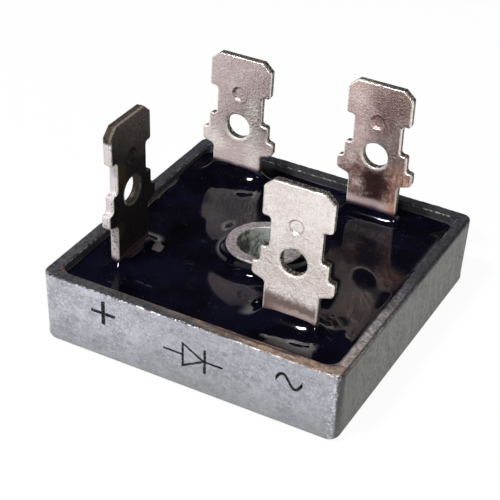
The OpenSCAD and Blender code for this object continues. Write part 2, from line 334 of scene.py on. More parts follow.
# %% Pour mesh
way = (1 - np.cos(np.linspace(0, np.pi, 132))) / 2
inner, outer = circle_ring(boss_radius), square_ring(pour_half, 1.2)
plan = inner + way[:, None, None] * (outer - inner)
top = np.concatenate([plan, pour_height(plan)[..., None]], -1)
side_z = np.linspace(0, 1, 6)[1:, None]
down = np.concatenate([np.repeat(outer[None], 5, 0),
                       (top[-1, :, 2] + (pour_floor - top[-1, :, 2]) * side_z)[..., None]], -1)
up = np.concatenate([np.repeat(inner[None], 5, 0),
                     (top[0, :, 2] + (pour_floor - top[0, :, 2]) * side_z[::-1])[..., None]], -1)
pour_points = np.concatenate([top, down, up])[::-1]
pour = piece_from("epoxy_pour", pour_points.reshape(-1, 3), wrap(len(pour_points), AROUND))
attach(pour, "root")
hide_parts("potting")
print("pour faces:", len(pour.data.polygons), "heights:", top[..., 2].min().round(2), top[..., 2].max().round(2))

# %% [markdown]
# ## Blanks for the terminals
# Each terminal is punched from 0.8 mm sheet as a flat *blank*: a blade with a head, a neck and two
# pairs of ears, and a foot with two arms. The outline is a list of corners, each with the small
# radius that the punch leaves. Modelling the flat blank first, then bending it as the press does,
# gives a foot, a bend and a blade that truly are one sheet.
# %% Outline of a blank
def blade_side(tip):
    """Right-hand corners of a blade from its tip to its stem: across, along and radius."""
    shoulder, ears = tip - 3.5, tip - 6.4
    stop, end = tip - 8.0, tip - 9.3
    return [(2.25, tip, 0.28), (3.15, tip - 0.8, 0.28), (3.15, shoulder, 0.28), (2.35, shoulder, 0.3),
            (2.35, ears, 0.3), (3.1, ears, 0.28), (3.1, stop, 0.3), (3.75, stop, 0.28),
            (3.75, end, 0.45), (STEM / 2, end - 0.4, 0.4)]


def foot_side(corner, end_across, end_along, half):
    """Corners of the foot from the stem's right side round to its left: one arm runs across to its
    die and one runs back to its own, both of them half a width past the die's middle."""
    high, low = corner[1] + half, corner[1] - half
    right, left = corner[0] + half, corner[0] - half
    round_foot = [(STEM / 2, high, 0.2), (end_across + half, high, 0.2), (end_across + half, low, 0.2),
                  (right, low, 0.2), (right, end_along - half, 0.2), (left, end_along - half, 0.2)]
    pad = -ROOT - 2 * half
    return round_foot + ([(left, pad - 0.2, 0.2), (-STEM / 2, pad + 0.2, 0.2)] if left > -STEM / 2
                         else [(left, high, 0.2), (-STEM / 2, high, 0.2)])


def round_corners(corners, steps=7):
    """Each corner becomes the arc that touches both its sides. The arc's centre lies on the bisector
    at radius / sin(half angle), and the arc sweeps what the corner lacks to a straight line."""
    data = np.array(corners, float)
    point, radius = data[:, :2], data[:, 2:]
    before, after = np.roll(point, 1, 0) - point, np.roll(point, -1, 0) - point
    before /= np.linalg.norm(before, axis=1, keepdims=True)
    after /= np.linalg.norm(after, axis=1, keepdims=True)
    half = np.arccos((before * after).sum(1, keepdims=True)) / 2
    bisector = before + after
    bisector /= np.linalg.norm(bisector, axis=1, keepdims=True)
    centre = point + bisector * radius / np.sin(half)
    touch = point + before * radius / np.tan(half) - centre
    turn = np.sign(before[:, :1] * after[:, 1:] - before[:, 1:] * after[:, :1]) * (2 * half - np.pi)
    angle = turn * np.linspace(0, 1, steps)
    x = touch[:, :1] * np.cos(angle) - touch[:, 1:] * np.sin(angle) + centre[:, :1]
    y = touch[:, :1] * np.sin(angle) + touch[:, 1:] * np.cos(angle) + centre[:, 1:]
    return np.stack([x, y], -1).reshape(-1, 2)


def walk(loop, step=0.16):
    """The same closed loop with extra points, so that none of its sides is longer than a step."""
    side = np.roll(loop, -1, 0) - loop
    count = np.maximum(np.ceil(np.linalg.norm(side, axis=1) / step), 1).astype(int)
    first = np.repeat(np.cumsum(count) - count, count)
    share = (np.arange(count.sum()) - first) / np.repeat(count, count)
    return np.repeat(loop, count, 0) + share[:, None] * np.repeat(side, count, 0)


BEND_LENGTH = (BEND + SHEET / 2) * math.pi / 2


def blank(name):
    """Closed outline of a terminal's flat blank, clockwise from the tip: across and along. The along
    coordinate is the foot's own y up to the bend, and goes on through the bend up the blade."""
    across, out, face, tip = terminal_frame(name)
    local = {die: np.array([(middle(die) - face) @ across, (middle(die) - face) @ out])
             for die in DICE[name]}
    ends = sorted(local.values(), key=lambda p: -p[1])
    corner = np.array([ends[1][0], ends[0][1]])
    hand = 1.0 if ends[0][0] > corner[0] else -1.0
    half = corners("left_die")[1][0] - middle("left_die")[0] + 0.2
    flat_tip = tip - ROOT + BEND_LENGTH - ROOT
    right = blade_side(flat_tip)
    foot = foot_side((corner[0] * hand, corner[1]), ends[0][0] * hand, ends[1][1], half)
    left = [(-x, y, r) for x, y, r in right[::-1]]
    loop = walk(round_corners(right + foot + left))
    return loop if hand > 0 else (loop * (-1, 1))[::-1]


for name in DICE:
    loop = blank(name)
    print(name, "outline points:", len(loop), "span:", loop.min(0).round(2), loop.max(0).round(2))

# %% [markdown]
# ## Punched edges
# A punch draws the sheet's skin down into a soft roll on one side, burnishes the top half of the cut
# bright, tears the rest, and leaves a sharp burr on the far side. So an edge is a small profile that
# is carried along the outline: inset and depth. The same profile goes round the wire hole. The two
# faces are filled with triangles, which are dense where the sheet bends and where the dimple sits.
# %% Punch a blank
ROLL, FOOT_ROLL, BURR = 0.21, 0.12, 0.05
ZONES = np.concatenate([np.linspace(0.02, 0.25, 7), [0.35, 0.45, 0.58, 0.72], np.linspace(0.86, 0.98, 3)])


def edge_profile(roll, dip, tear, flip):
    """Inset from the outline, a row for each point, and depth through the sheet, from one face to
    the other: a rolled quarter, a straight burnished part, a torn part that slopes in, and a burr."""
    s, c = quarter_round(7)
    t, d = quarter_round(3)
    inset = roll[:, None] * (1 - s)
    fixed = np.concatenate([[0, 0, tear / 2, tear], tear + BURR * d])
    inset = np.concatenate([inset, np.broadcast_to(fixed, (len(roll), len(fixed)))], 1)
    depth = np.concatenate([dip * c, [0.3, 0.42, 0.5, 0.65], SHEET - BURR * (1 - t)])
    return (inset[:, ::-1], SHEET - depth[::-1]) if flip else (inset, depth)


def outward(loop):
    """Unit normals of a clockwise loop: the way from the last point to the next, turned left."""
    way = np.roll(loop, -1, 0) - np.roll(loop, 1, 0)
    way /= np.linalg.norm(way, axis=1, keepdims=True)
    return np.stack([-way[:, 1], way[:, 0]], -1)


def within(points, loop):
    """Which points a loop holds: those whose ray to the right crosses it an odd number of times."""
    a, b = loop[None], np.roll(loop, -1, 0)[None]
    x, y = points[:, None, 0], points[:, None, 1]
    spans = (a[..., 1] > y) != (b[..., 1] > y)
    rise = np.where(b[..., 1] == a[..., 1], 1, b[..., 1] - a[..., 1])
    return (spans & (x < a[..., 0] + (y - a[..., 1]) * (b[..., 0] - a[..., 0]) / rise)).sum(1) % 2 == 1


def fill_points(loop, hole_at, dimple_at):
    """Points inside a blank: a plain net, a fine net over the bend, and rings about the dimple."""
    low, high = loop.min(0), loop.max(0)
    nets = [np.stack(np.meshgrid(np.arange(low[0], high[0], 0.55), np.arange(low[1], high[1], 0.55)), -1),
            np.stack(np.meshgrid(np.arange(-2.3, 2.31, 0.23), -ROOT + BEND_LENGTH * np.arange(-1, 14) / 12), -1)]
    points = np.concatenate([n.reshape(-1, 2) for n in nets])
    radii = np.concatenate([np.linspace(0.1, 0.46, 4), np.linspace(0.52, 0.8, 9), [0.88, 1.0]])
    angle, radius = np.meshgrid(np.arange(40) * np.pi / 20, radii)
    rings = np.stack([radius * np.cos(angle + radius), radius * np.sin(angle + radius)], -1).reshape(-1, 2)
    gap = np.sqrt(((points[:, None] - loop[None]) ** 2).sum(-1)).min(1)
    free = (gap > 0.4) & within(points, loop)
    free &= np.hypot(*(points - hole_at).T) > mount_radius + 0.5
    free &= np.hypot(*(points - dimple_at).T) > 1.1
    in_bend = (points[:, 1] > -ROOT - 0.2) & (points[:, 1] < -ROOT + BEND_LENGTH + 0.2)
    free &= ~in_bend | (np.arange(len(points)) >= nets[0].size // 2)
    return np.concatenate([points[free], dimple_at + rings])


def dent(points, dimple_at):
    """Depth of the dimple: 0.2 mm and flat in its middle, gone in an S-shaped slope before 0.72 mm,
    with a slight swelling of pushed-up metal round it."""
    away = np.hypot(*(points - dimple_at).T)
    share = np.clip((0.72 - away) / 0.2, 0, 1)
    sunk = 0.2 * share ** 2 * (3 - 2 * share) - 0.025 * np.exp(-((away - 0.8) / 0.08) ** 2)
    return sunk, 4 * share * (1 - share)


mount_radius = mounts["plus_wire_hole"]["dims"]["r_mm"]


def punched(name, flip):
    """Points (across, along, depth), triangles, quads and the cut mark of a flat blank."""
    tip = terminal_frame(name)[3] + BEND_LENGTH - 2 * ROOT
    hole_at, dimple_at = np.array([0, tip - 7.1]), np.array([0, tip - 3.7])
    angle = np.arange(72) * np.pi / 36
    loops = [blank(name), hole_at + mount_radius * np.stack([np.cos(angle), np.sin(angle)], -1)]
    in_blade = np.clip(loops[0][:, 1], 0, 1)
    upward = np.clip(outward(loops[0])[:, 1], 0, 1)
    rolls = [(FOOT_ROLL + (ROLL - FOOT_ROLL) * in_blade) * (1 - 0.5 * upward), np.full(len(loops[1]), 0.3)]
    strips, quads, start = [], [], 0
    for loop, roll, dip, tear in zip(loops, rolls, (0.17, 0.08), (0.03, 0.0)):
        inset, depth = edge_profile(roll, dip, tear, flip)
        ring = loop[:, None] - outward(loop)[:, None] * inset[:, :, None]
        strips.append(np.concatenate([ring, np.broadcast_to(depth[:, None], (len(loop), len(depth), 1))], -1))
        grid = start + np.arange(len(loop) * len(depth)).reshape(len(loop), -1)
        ahead = np.roll(grid, -1, 0)
        quads.append(np.stack([grid[:, :-1], grid[:, 1:], ahead[:, 1:], ahead[:, :-1]], -1).reshape(-1, 4))
        start += grid.size
    rims = np.concatenate([loop - outward(loop) * roll[:, None] for loop, roll in zip(loops, rolls)])
    held = np.concatenate([loop - outward(loop) * (roll[:, None] + 0.05) for loop, roll in zip(loops, rolls)])
    inside = np.concatenate([held, fill_points(loops[0], hole_at, dimple_at)])
    flat = np.concatenate([rims, inside])
    count = [len(loop) for loop in loops]
    ring_edges = np.concatenate([np.stack([np.arange(n), np.roll(np.arange(n), -1)], -1) + base
                                 for n, base in zip(count, (0, count[0]))])
    made = delaunay_2d_cdt([Vector(p) for p in flat], ring_edges.tolist(), [], 0, 1e-7, True)
    source = np.array([min(group) for group in made[3]])
    triangles = source[np.array(made[2])]
    centre = flat[triangles].mean(1)
    a, b, c = (flat[triangles[:, k]] for k in range(3))
    area = (b[:, 0] - a[:, 0]) * (c[:, 1] - a[:, 1]) - (b[:, 1] - a[:, 1]) * (c[:, 0] - a[:, 0])
    keep = within(centre, rims[:count[0]]) & (np.hypot(*(centre - hole_at).T) > mount_radius + 0.27)
    triangles = triangles[keep & (np.abs(area) > 1e-9)]
    area = area[keep & (np.abs(area) > 1e-9)]
    triangles[area < 0] = triangles[area < 0][:, ::-1]
    strip_points = np.concatenate([s.reshape(-1, 3) for s in strips])
    marks = np.tile(ZONES[::-1] if flip else ZONES, sum(count))
    faces, points, cut, slope = [], [strip_points], [marks], [np.zeros(len(marks))]
    sunk, steep = dent(inside, dimple_at)
    base = np.concatenate([[0], np.cumsum(np.array(count) * len(depth))])
    for side, column in ((0, 0), (1, len(depth) - 1)):
        edge = np.concatenate([base[k] + np.arange(count[k]) * len(depth) + column for k in range(2)])
        start = sum(len(p) for p in points)
        number = np.concatenate([edge, start + np.arange(len(inside))])
        level_n = sunk if side == 0 else SHEET - sunk
        points.append(np.column_stack([inside, level_n]))
        cut.append(np.zeros(len(inside)))
        slope.append(steep)
        faces.append(number[triangles[:, ::-1] if side == 0 else triangles])
    points = np.concatenate(points)
    marks = {"cut": np.concatenate(cut), "through": points[:, 2] / SHEET, "steep": np.concatenate(slope)}
    return points, np.concatenate(faces), np.concatenate(quads), marks


flat_points, *flat_faces, flat_cut = punched("plus", False)
print("blank of the plus terminal:", len(flat_points), "points,", [len(f) for f in flat_faces], "faces")

# %% [markdown]
# ## Bending and placing the terminals
# The press bends the blade up from its foot about a bar of 0.4 mm. The sheet's middle keeps its
# length, so a point's way along the blank gives its angle in the bend, and its depth gives its
# distance from the bar. After that, each terminal is turned to its wall and leans by its hair.
# %% Bend and place
def bent(points):
    """Across, out and up of a bent blank. Before the bend the sheet lies flat; in the bend a point
    sits on the circle about the bar at angle (along / length) x 90 degrees; past it the sheet stands."""
    x, along, depth = points.T
    way = along + ROOT
    angle = np.clip(way / BEND_LENGTH, 0, 1) * np.pi / 2
    radius = ROOT - depth
    out = -ROOT + radius * np.sin(angle) + np.minimum(way, 0)
    up = ROOT - radius * np.cos(angle) + np.maximum(way - BEND_LENGTH, 0)
    return np.stack([x, out, up], -1)


tabs = {}
for name, (lean_x, lean_y) in LEANS.items():
    across, out, face, tip = terminal_frame(name)
    flat, triangles, quads, marks = punched(name, name != "front_ac")
    local = bent(flat)
    placed = face + local[:, :1] * across + local[:, 1:2] * out + local[:, 2:] * (0, 0, 1)
    lift = np.maximum(placed[:, 2] - 3.9, 0)
    placed[:, 0] += lean_x * lift
    placed[:, 1] += lean_y * lift
    tab = piece_from(name + "_tab", placed, triangles, quads, **marks)
    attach(tab, "root")
    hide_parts(name + "_terminal")
    tabs[name] = tab
    print(tab.name, "faces:", len(tab.data.polygons), placed.min(0).round(2), placed.max(0).round(2))

# %% [markdown]
# ## Materials as sums
# A finish is easier to read as arithmetic than as a drawing of boxes and wires. The small class
# below wraps one output socket of a shader node, so that `1 - mask * 0.5` builds its Math nodes by
# itself. Everything else goes through one method that makes a node: first its settings, then the
# numbers, colours or links of its sockets. Positions are object positions in millimetres.
# %% Shader helpers
class Value:
    """One output socket of a shader node, with the arithmetic that the finishes use."""

    def __init__(self, finish, socket):
        self.finish, self.socket = finish, socket

    def math(self, operation, a, b=0.0, clamp=False):
        return self.finish.node("Math", {"operation": operation, "use_clamp": clamp}, {0: a, 1: b})

    def __add__(self, other): return self.math("ADD", self, other)
    def __radd__(self, other): return self.math("ADD", other, self)
    def __sub__(self, other): return self.math("SUBTRACT", self, other)
    def __rsub__(self, other): return self.math("SUBTRACT", other, self)
    def __mul__(self, other): return self.math("MULTIPLY", self, other)
    def __rmul__(self, other): return self.math("MULTIPLY", other, self)
    def __truediv__(self, other): return self.math("DIVIDE", self, other)
    def __rtruediv__(self, other): return self.math("DIVIDE", other, self)
    def __pow__(self, other): return self.math("POWER", self, other)
    def __abs__(self): return self.math("ABSOLUTE", self)
    def __neg__(self): return self.math("SUBTRACT", 0.0, self)
    def lowest(self, other): return self.math("MINIMUM", self, other)
    def highest(self, other): return self.math("MAXIMUM", self, other)
    def root(self): return self.math("SQRT", self)
    def sine(self): return self.math("SINE", self)

    def ramp(self, start, end):
        """Smooth step: 0 up to start and 1 from end on, the other way round if end is lower."""
        return self.finish.node("MapRange", {"interpolation_type": "SMOOTHSTEP"},
                                {"Value": self, "From Min": start, "From Max": end})


class Finish:
    """A material built round one Principled shader, whose constants are given by name."""

    def __init__(self, name, **constants):
        self.material = bpy.data.materials.new(name)
        self.material.use_nodes = True
        self.tree = self.material.node_tree
        self.tree.nodes.clear()
        self.shader = self.node("BsdfPrincipled", {}, {k.replace("_", " "): v for k, v in constants.items()})
        self.node("OutputMaterial", {}, {"Surface": self.shader})
        self.place = self.node("Mapping", {}, {"Vector": self.node("TexCoord", {}, {}, 3),
                                               "Scale": (1000, 1000, 1000)})
        split = self.node("SeparateXYZ", {}, {0: self.place}).socket.node
        self.x, self.y, self.z = (Value(self, s) for s in split.outputs)

    def node(self, kind, settings, sockets, output=0):
        """Makes a node of a kind, gives it its settings and ramp stops, then fills its sockets."""
        made = self.tree.nodes.new("ShaderNode" + kind)
        for key, value in settings.items():
            if key == "stops":
                while len(made.color_ramp.elements) < len(value):
                    made.color_ramp.elements.new(0.5)
                for element, (position, colour) in zip(made.color_ramp.elements, value):
                    element.position, element.color = position, (*colour, 1)
            else:
                setattr(made, key, value)
        for key, value in sockets.items():
            self.feed(made.inputs[key], value)
        return Value(self, made.outputs[output]) if made.outputs else None

    def feed(self, socket, value):
        """Links a value to a socket, or sets the socket's own number or colour."""
        if isinstance(value, Value):
            self.tree.links.new(value.socket, socket)
        else:
            socket.default_value = (*value, 1) if socket.type == "RGBA" and len(value) == 3 else value

    def vary(self, **links):
        """Feeds the shader's sockets by name: Base_Color, Roughness, Metallic, Normal."""
        for name, value in links.items():
            self.feed(self.shader.socket.node.inputs[name.replace("_", " ")], value)

    def noise(self, scale, detail=3.0, rough=0.55, stretch=(1, 1, 1), turn=(0, 0, 0)):
        """Cloudy noise with so many clouds per millimetre, stretched along one way if wished."""
        where = self.place if stretch == (1, 1, 1) else self.node(
            "Mapping", {}, {"Vector": self.place, "Scale": stretch, "Rotation": turn})
        return self.node("TexNoise", {}, {"Vector": where, "Scale": scale, "Detail": detail,
                                          "Roughness": rough})

    def cells(self, scale, feature="F1", stretch=(1, 1, 1), turn=(0, 0, 0)):
        """Distance to the nearest of many scattered seeds, in cell widths."""
        where = self.place if stretch == (1, 1, 1) else self.node(
            "Mapping", {}, {"Vector": self.place, "Scale": stretch, "Rotation": turn})
        return self.node("TexVoronoi", {"feature": feature}, {"Vector": where, "Scale": scale})

    def mix(self, mask, a, b):
        """Colour a where the mask is 0 and colour b where it is 1."""
        return self.node("Mix", {"data_type": "RGBA"}, {0: mask, 6: a, 7: b}, 2)

    def bump(self, height, depth, under=None):
        """Normal of a surface whose height of 0 to 1 stands for a depth in millimetres."""
        sockets = {"Height": height, "Distance": depth * MM, "Strength": 1.0}
        return self.node("Bump", {}, sockets | ({"Normal": under} if under else {}))

    def on(self, *pieces):
        """Puts the finish on pieces, in the place of what they had."""
        for piece in pieces:
            piece.data.materials.clear()
            piece.data.materials.append(self.material)
        return self


print("helpers ready")

# %% [markdown]
# ## Cast metal
# The case is a zinc-like casting: a satin lavender grey with faint clouds, darker freckles, and fine
# scratches from handling. Its burr, freshly broken metal, and its front corners carry painted glints;
# its right wall, its right front corner and the right half of it are painted darker as painted shade.
# Where hot compound crept over the rim it left a tan film, strongest at one corner. The ink marks are
# part of the same finish, since ink has no thickness to speak of.
# %% Cast metal: the walls
metal = Finish("cast metal")
x, y, z = metal.x, metal.y, metal.z
clouds = metal.noise(0.45, 4.0, 0.6)
flow = metal.noise(0.8, 4.0, 0.65, (1.0, 1.0, 2.6))
freckles = metal.noise(2.2, 4.0, 0.7)
grain = metal.noise(4.2, 2.0, 0.8)
wall_mix = (clouds * 0.3 + flow * 0.35 + freckles * 0.35).ramp(0.38, 0.62)
colour = metal.mix(wall_mix, (0.31, 0.315, 0.355), (0.53, 0.53, 0.595))
colour = metal.mix(freckles.ramp(0.40, 0.30) * 0.5, colour, (0.16, 0.16, 0.18))
colour = metal.mix(grain.ramp(0.50, 0.64) * 0.55, colour, (0.70, 0.70, 0.76))
# Painted shade: the right half of the case is painted darker, as if lit from the left.
painted_shade_right = (x + (clouds - 0.5) * 8.0).ramp(-7.0, 0.0) * 0.28
colour = metal.mix(painted_shade_right, colour, (0.22, 0.225, 0.225))
low_part = (z + (clouds - 0.5) * 3.0).ramp(4.6, 0.8) * 0.5
colour = metal.mix(low_part, colour, (0.17, 0.18, 0.175))
# Painted shade: the right wall, turned from the lamps, is painted a dark olive grey, darkest towards the front
# corner.
shaded_right_wall = (x + (grain - 0.5) * 0.1).ramp(13.75, 13.95)
right_wall_shade = metal.mix((freckles * 0.5 + grain * 0.5).ramp(0.36, 0.62), (0.060, 0.063, 0.055), (0.205, 0.208, 0.19))
right_wall_shade = metal.mix(metal.noise(1.3, 3.0, 0.6, (1.0, 1.0, 0.3)).ramp(0.45, 0.65) * 0.35, right_wall_shade, (0.27, 0.26, 0.235))
right_wall_shade = metal.mix(y.ramp(-6.0, -13.5) * 0.35, right_wall_shade, (0.05, 0.05, 0.047))
colour = metal.mix(shaded_right_wall * 0.95, colour, right_wall_shade)
# Painted shade: a dark line down the rounded right front corner.
corner_shade_line = (x - y + (grain - 0.5) * 0.1).ramp(27.55, 27.75) * x.ramp(13.7, 13.9)
colour = metal.mix(corner_shade_line * 0.6, colour, (0.04, 0.042, 0.04))

# %% [markdown]
# The rim is darker than the walls. It is a mid grey along the front, nearly black at the back,
# lighter at the front of its right side, and tan in its inner half where the film of compound is
# thin enough to see through. Painted glints make a gold line on the front rim's inner part, a
# painted highlight runs round its inner edge, and painted shade makes a thin dark line along its
# right outer edge.
# %% Cast metal: rim, boss and bore
far = abs(x).highest(abs(y))
front_rim = y.ramp(-12.4, -13.1)
right_rim = x.ramp(12.4, 13.1)
rough_grey = (grain * 0.6 + freckles * 0.4).ramp(0.40, 0.60)
front_grey = metal.mix(rough_grey, (0.035, 0.035, 0.038), (0.15, 0.145, 0.15))
right_grey = metal.mix(rough_grey, (0.17, 0.16, 0.165), (0.58, 0.54, 0.54))
dark_grey = metal.mix(rough_grey, (0.012, 0.013, 0.018), (0.055, 0.057, 0.066))
rim_tone = metal.mix(right_rim * y.ramp(3.0, -9.0), dark_grey, right_grey)
rim_tone = metal.mix(x.ramp(-12.4, -13.1) * (y + (clouds - 0.5) * 8.0).ramp(2.0, -12.0) * 0.6, rim_tone, front_grey)
rim_tone = metal.mix(front_rim, rim_tone, metal.mix(0.5, front_grey, dark_grey))
tan_place = (x + (13.8 - far) * 7.0 + (clouds - 0.5) * 8.0).ramp(-3.0, 9.0) * front_rim
tan_place = tan_place.highest(right_rim * (y + (clouds - 0.5) * 5.0).ramp(-6.0, -13.0) * 0.6)
streaks = metal.noise(1.5, 4.0, 0.7, (0.6, 1.6, 1.0))
tan = metal.mix((streaks * 0.6 + grain * 0.4).ramp(0.38, 0.60), (0.14, 0.088, 0.063), (0.46, 0.34, 0.265))
rim_tone = metal.mix(tan_place * 0.9, rim_tone, tan)
inner_half = (far + (clouds - 0.5) * 0.5).ramp(13.62, 13.52) * tan_place
burnt = inner_half * (x + (clouds - 0.5) * 5.0).ramp(1.0, 2.5) * x.ramp(10.5, 9.5)
rim_tone = metal.mix(burnt * 0.9, rim_tone, (0.016, 0.007, 0.004))
# Painted glints: a bright gold line along the front rim's inner edge, on the tan film.
gold_glint = far.ramp(13.30, 13.22) * tan_place * front_rim * streaks.ramp(0.42, 0.56)
rim_tone = metal.mix(gold_glint * 0.85, rim_tone, (0.60, 0.36, 0.20))
top_face = z.ramp(rim_height - 0.10, rim_height - 0.03) * far.ramp(12.0, 12.6)
colour = metal.mix(top_face * 0.96, colour, rim_tone)
in_wall = far.ramp(13.35, 13.15) * z.ramp(rim_height - 1.2, rim_height - 0.6) * far.ramp(12.5, 12.9)
colour = metal.mix(in_wall * 0.85, colour, metal.mix(front_rim * streaks.ramp(0.42, 0.60), (0.018, 0.016, 0.02),
                                                     (0.30, 0.13, 0.07)))
# Painted highlight: a broken bright line round the rim's rounded inner edge.
inner_edge_highlight = far.ramp(13.22, 13.16) * far.ramp(13.04, 13.10) * z.ramp(rim_height - 0.2, rim_height - 0.1)
colour = metal.mix(inner_edge_highlight * (freckles + grain * 0.5).ramp(0.72, 0.86) * 0.6, colour, (0.42, 0.37, 0.35))
# Painted shade: a thin dark line along the rounded right outer edge of the rim.
right_edge_shade = (x + (z - rim_height) + (grain - 0.5) * 0.06).ramp(case_half - 0.42, case_half - 0.3) * (
    x + (z - rim_height)).ramp(case_half - 0.06, case_half - 0.16) * z.ramp(rim_height - 0.3, rim_height - 0.2)
colour = metal.mix(right_edge_shade * 0.75, colour, (0.015, 0.015, 0.017))
boss_ring = far.ramp(3.7, 3.6) * z.ramp(rim_height - 0.1, rim_height)
ring_tone = metal.mix((grain * 0.6 + freckles * 0.4).ramp(0.40, 0.62), (0.20, 0.17, 0.17), (0.50, 0.43, 0.43))
colour = metal.mix(boss_ring * 0.9, colour, ring_tone)
bore = (x * x + y * y).root().ramp(2.62, 2.56)
bore_streaks = metal.noise(1.5, 3.0, 0.6, (1.0, 1.0, 0.5))
# The bore is streaky, and painted darker deeper down and towards its front left: painted shade.
bore_streaks_and_shade = (bore_streaks * 0.7 + grain * 0.3 + (x + y) * 0.03 + (z - 4.0) * 0.03).ramp(0.40, 0.66)
bore_tone = metal.mix(bore_streaks_and_shade, (0.075, 0.08, 0.068), (0.62, 0.66, 0.62))
colour = metal.mix(bore, colour, bore_tone)

# %% [markdown]
# Where the flash was broken off, the front edge of the rim keeps a broken line of bright crumbs,
# painted near white as painted glints. Both front corners get painted glints too.
# %% Cast metal: the bright edge
burr_line = (far + (z - rim_height)).ramp(case_half - 0.26, case_half - 0.06) * z.ramp(rim_height - 0.34, rim_height - 0.1)
front_wall = y.ramp(-13.7, -14.0)
patchy = metal.noise(0.5, 2.0).ramp(0.40, 0.60)
crumbs = metal.noise(3.4, 3.0, 0.8).ramp(0.48, 0.60)
# Painted glints: near-white crumbs along the burr, strongest on the front wall.
burr_glints = burr_line * crumbs * (0.12 + 0.88 * front_wall) * (0.25 + 0.75 * patchy)
colour = metal.mix(burr_glints * 0.95, colour, (0.97, 0.96, 0.97))
# Painted glints: pale specks down the two front corners.
corner_glints = (y.ramp(-13.7, -13.95) * x.ramp(-13.2, -13.9)).highest(x.ramp(13.1, 13.6) * y.ramp(-13.8, -14.0))
colour = metal.mix(corner_glints * grain.ramp(0.50, 0.60) * 0.6, colour, (0.80, 0.80, 0.84))
print("cast metal nodes so far:", len(metal.tree.nodes))

# %% [markdown]
# ## Ink marks
# The wall by the front tabs shows which tab is which: a plus sign and a wave for the alternating
# side. Between them stands a plain diode symbol. Each mark is a distance formula on the wall: a
# stroke is where the distance to its line is less than half its width.
# %% Ink on the wall
def bar(across, up, half_across, half_up):
    """Distance outside an upright bar: the larger of the two coordinates' overshoots."""
    return (abs(x - across) - half_across).highest(abs(z - up) - half_up)


def wave(across, up, tall, long):
    """Distance to a sine stroke: the height above the curve over the length of its slope."""
    phase = (x - across) * (2 * math.pi / long)
    slope = (phase + math.pi / 2).sine() * (tall * 2 * math.pi / long)
    off = abs(z - up + phase.sine() * tall) / (1 + slope * slope).root() - 0.13
    return off.highest(abs(x - across) - long * 0.53)


def arrow(left, right, up, tall):
    """Distance to the outline of a triangle that points right."""
    length, half = right - left, tall
    sine, cosine = half / math.hypot(length, half), length / math.hypot(length, half)
    inside = (left - x).highest((x - right) * sine + abs(z - up) * cosine)
    return abs(inside) - 0.10


plus_sign = bar(-7.95, 5.05, 0.18, 1.2).lowest(bar(-7.95, 5.0, 1.2, 0.15))
wave_sign = wave(9.7, 4.9, 0.6, 2.3)
diode = arrow(-0.15, 1.85, 3.75, 1.15).lowest(bar(1.95, 3.75, 0.12, 1.25))
diode = diode.lowest(bar(-1.1, 3.75, 0.95, 0.10)).lowest(bar(2.85, 3.75, 0.85, 0.10))
marks = plus_sign.lowest(wave_sign).lowest(diode) + (metal.noise(3.0, 3.0, 0.7) - 0.5) * 0.16
ink = marks.ramp(0.05, -0.03) * y.ramp(-13.9, -14.0) * (0.85 + 0.15 * grain.ramp(0.35, 0.6))
colour = metal.mix(ink, colour, (0.004, 0.004, 0.006))
rough = 0.44 + clouds * 0.06 + freckles * 0.12 + ink * 0.12 - burr_glints * 0.15
height_map = grain * 0.8 + freckles * 0.9 + flow * 0.5
metal.vary(Base_Color=colour, Roughness=rough, Metallic=0.6 + 0.38 * ink, Normal=metal.bump(height_map, 0.05))
metal.on(case)
print("case metal nodes:", len(metal.tree.nodes))

# %% [markdown]
# ## Black compound
# The pour is a glossy navy-black epoxy. Most of its look is what it mirrors, so its colour stays
# very dark and its roughness low. Dust settles on it as pale specks, fingers leave hairline
# scratches, and where it thins out on the warm metal it turns brown.
# %% Epoxy of the pour
epoxy = Finish("black compound", IOR=1.3)
specks = epoxy.cells(2.6).ramp(0.075, 0.045) * epoxy.noise(1.7, 2.0).ramp(0.50, 0.60)
fine_specks = epoxy.cells(5.2).ramp(0.10, 0.06) * epoxy.noise(2.9, 2.0).ramp(0.50, 0.58)
hairs = epoxy.noise(0.9, 1.0, 0.4, (0.25, 5.5, 1.0), (0.0, 0.0, 0.9))
hairline = abs(hairs - 0.5).ramp(0.004, 0.001) * epoxy.noise(0.35, 1.0).ramp(0.58, 0.66)
dust = (specks + fine_specks * 0.7 + hairline * 0.5).lowest(1.0)
depth_tone = epoxy.noise(0.25, 2.0).ramp(0.35, 0.7)
body = epoxy.mix(depth_tone, (0.0012, 0.001, 0.0025), (0.003, 0.0028, 0.009))
lift = epoxy.z + (epoxy.noise(1.2, 3.0) - 0.5) * 0.3
edge = abs(epoxy.x).highest(abs(epoxy.y)).ramp(12.2, 12.7)
edge_film = lift.ramp(pour_top - 0.42, pour_top - 0.1) * edge * (0.12 + 0.88 * epoxy.y.ramp(-11.0, -12.5))
copper = epoxy.noise(1.4, 3.0, 0.7, (0.5, 1.0, 1.0)).ramp(0.42, 0.62)
body = epoxy.mix(edge_film * 0.9, body, epoxy.mix(copper, (0.018, 0.008, 0.006), (0.20, 0.075, 0.035)))
body = epoxy.mix(dust * 0.8, body, (0.17, 0.18, 0.26))
epoxy.vary(Base_Color=body, Roughness=0.04 + dust * 0.4 + epoxy.noise(0.6, 3.0) * 0.04,
           Normal=epoxy.bump(epoxy.noise(0.7, 1.0) * 0.6 + dust * 0.2, 0.002))
epoxy.on(pour)
print("compound nodes:", len(epoxy.tree.nodes))

